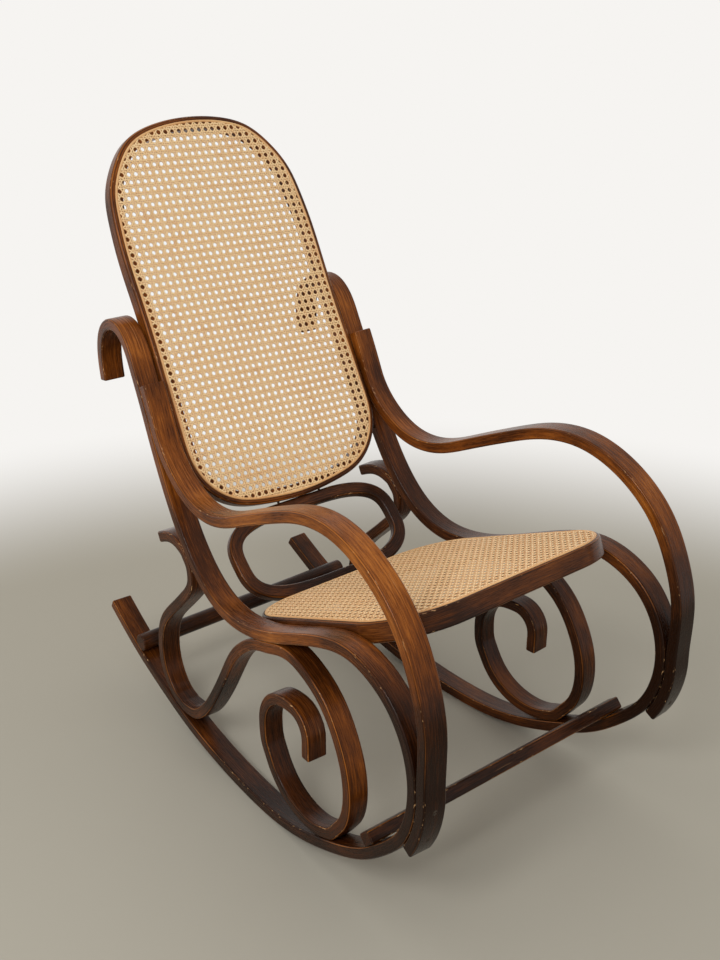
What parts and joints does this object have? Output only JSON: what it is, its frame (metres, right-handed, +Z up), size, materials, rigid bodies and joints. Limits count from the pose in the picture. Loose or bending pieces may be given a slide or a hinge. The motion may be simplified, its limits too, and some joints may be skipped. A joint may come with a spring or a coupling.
{
  "type": "rocking chair",
  "caption": "Bentwood rocking chair with looping side frames, scrolled braces, a sloping caned seat and a tall caned back.",
  "frame": {"origin": "on the floor, under the middle of the chair's overall box", "axes": "+Z up, -Y the way the sitter faces, +X to the sitter's left"},
  "size_m": [0.597, 1.066, 1.108],
  "materials": {
    "bent_wood": "dark walnut stain on beech, satin varnish, worn at the edges",
    "arm_wood": "dark walnut stain on beech, satin varnish, rubbed paler on top",
    "ring_wood": "dark walnut stain on beech, satin varnish",
    "cane": "woven rattan cane, semi-matte",
    "cane_spline": "rattan spline, satin",
    "screw_steel": "darkened steel"
  },
  "bodies": {
    "root": {"right_frame_bend": "bent_wood", "left_frame_bend": "bent_wood", "right_arm": "arm_wood", "left_arm": "arm_wood", "right_scroll": "bent_wood", "left_scroll": "bent_wood", "rear_dowel": "bent_wood", "front_stretcher": "bent_wood", "seat_ring": "ring_wood", "seat_spline": "cane_spline", "seat_cane": "cane", "back_ring": "ring_wood", "back_spline": "cane_spline", "back_cane": "cane", "back_hoop": "ring_wood", "right_arm_post_screw_1": "screw_steel", "right_arm_post_screw_2": "screw_steel", "right_arm_loop_screw_1": "screw_steel", "right_arm_loop_screw_2": "screw_steel", "right_scroll_post_screw": "screw_steel", "right_scroll_rail_screw": "screw_steel", "right_scroll_front_runner_screw": "screw_steel", "right_scroll_rear_runner_screw": "screw_steel", "right_dowel_screw": "screw_steel", "right_stretcher_screw": "screw_steel", "right_seat_bolt_1": "screw_steel", "right_seat_bolt_2": "screw_steel", "right_back_bolt_1": "screw_steel", "right_back_bolt_2": "screw_steel", "right_hoop_seat_screw": "screw_steel", "right_hoop_back_screw": "screw_steel", "left_arm_post_screw_1": "screw_steel", "left_arm_post_screw_2": "screw_steel", "left_arm_loop_screw_1": "screw_steel", "left_arm_loop_screw_2": "screw_steel", "left_scroll_post_screw": "screw_steel", "left_scroll_rail_screw": "screw_steel", "left_scroll_front_runner_screw": "screw_steel", "left_scroll_rear_runner_screw": "screw_steel", "left_dowel_screw": "screw_steel", "left_stretcher_screw": "screw_steel", "left_seat_bolt_1": "screw_steel", "left_seat_bolt_2": "screw_steel", "left_back_bolt_1": "screw_steel", "left_back_bolt_2": "screw_steel", "left_hoop_seat_screw": "screw_steel", "left_hoop_back_screw": "screw_steel"}
  },
  "joints": []
}
